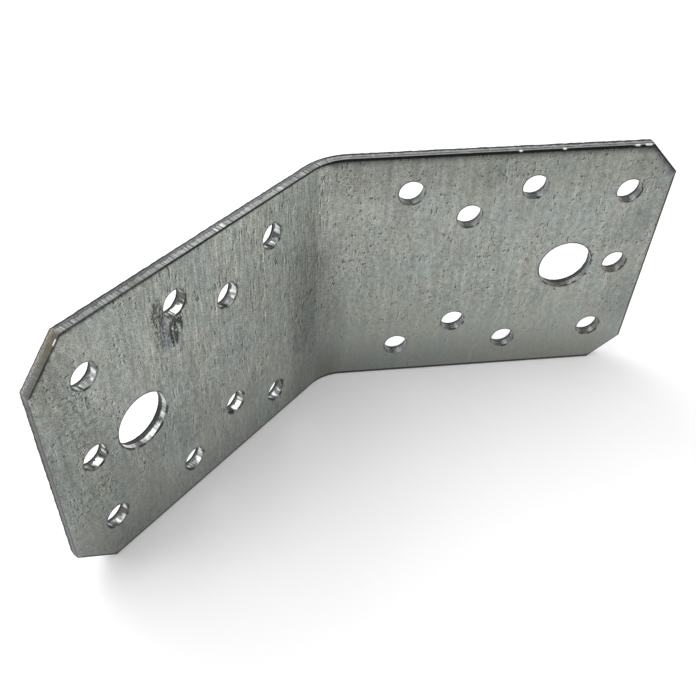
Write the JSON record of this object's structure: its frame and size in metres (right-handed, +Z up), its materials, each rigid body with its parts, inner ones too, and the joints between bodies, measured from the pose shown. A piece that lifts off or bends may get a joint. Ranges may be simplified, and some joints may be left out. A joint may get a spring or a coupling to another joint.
{
  "type": "angle bracket",
  "caption": "Galvanised sheet-steel angle bracket folded to an obtuse angle, with cut corners and punched nail and bolt holes in both legs.",
  "frame": {"origin": "under the middle of the part's box, at the lower edge that it stands on", "axes": "+Z up along the fold line, +X from leg end to leg end, -Y out of the hollow side of the fold"},
  "size_m": [0.1298, 0.0284, 0.055],
  "materials": {
    "galvanised_steel": "satin"
  },
  "bodies": {
    "root": {"angle_bracket": "galvanised_steel"}
  },
  "joints": []
}
